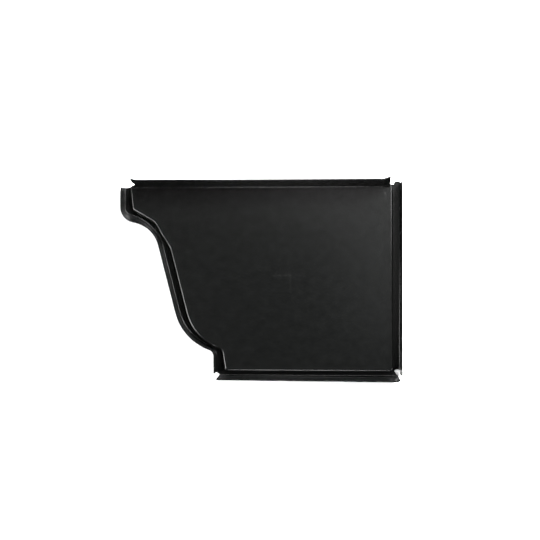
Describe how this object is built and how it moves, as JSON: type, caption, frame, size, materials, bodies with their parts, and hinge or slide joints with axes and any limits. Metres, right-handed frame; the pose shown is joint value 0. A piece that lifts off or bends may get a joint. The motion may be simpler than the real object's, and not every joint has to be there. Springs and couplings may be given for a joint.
{
  "type": "gutter end cap",
  "caption": "Pressed sheet-metal end cap for an ogee roof gutter, with a raised panel, a channel that takes the gutter's end and a stiffening flange along the open top.",
  "frame": {"origin": "middle of the footprint, on the plane that the channel's bottom rests on", "axes": "+X from the gutter's ogee front to its upright back, +Y from the gutter's floor to its open top, +Z into the gutter"},
  "size_m": [0.1324, 0.0956, 0.0131],
  "materials": {
    "painted_sheet": "satin"
  },
  "bodies": {
    "root": {"end_cap": "painted_sheet"}
  },
  "joints": []
}
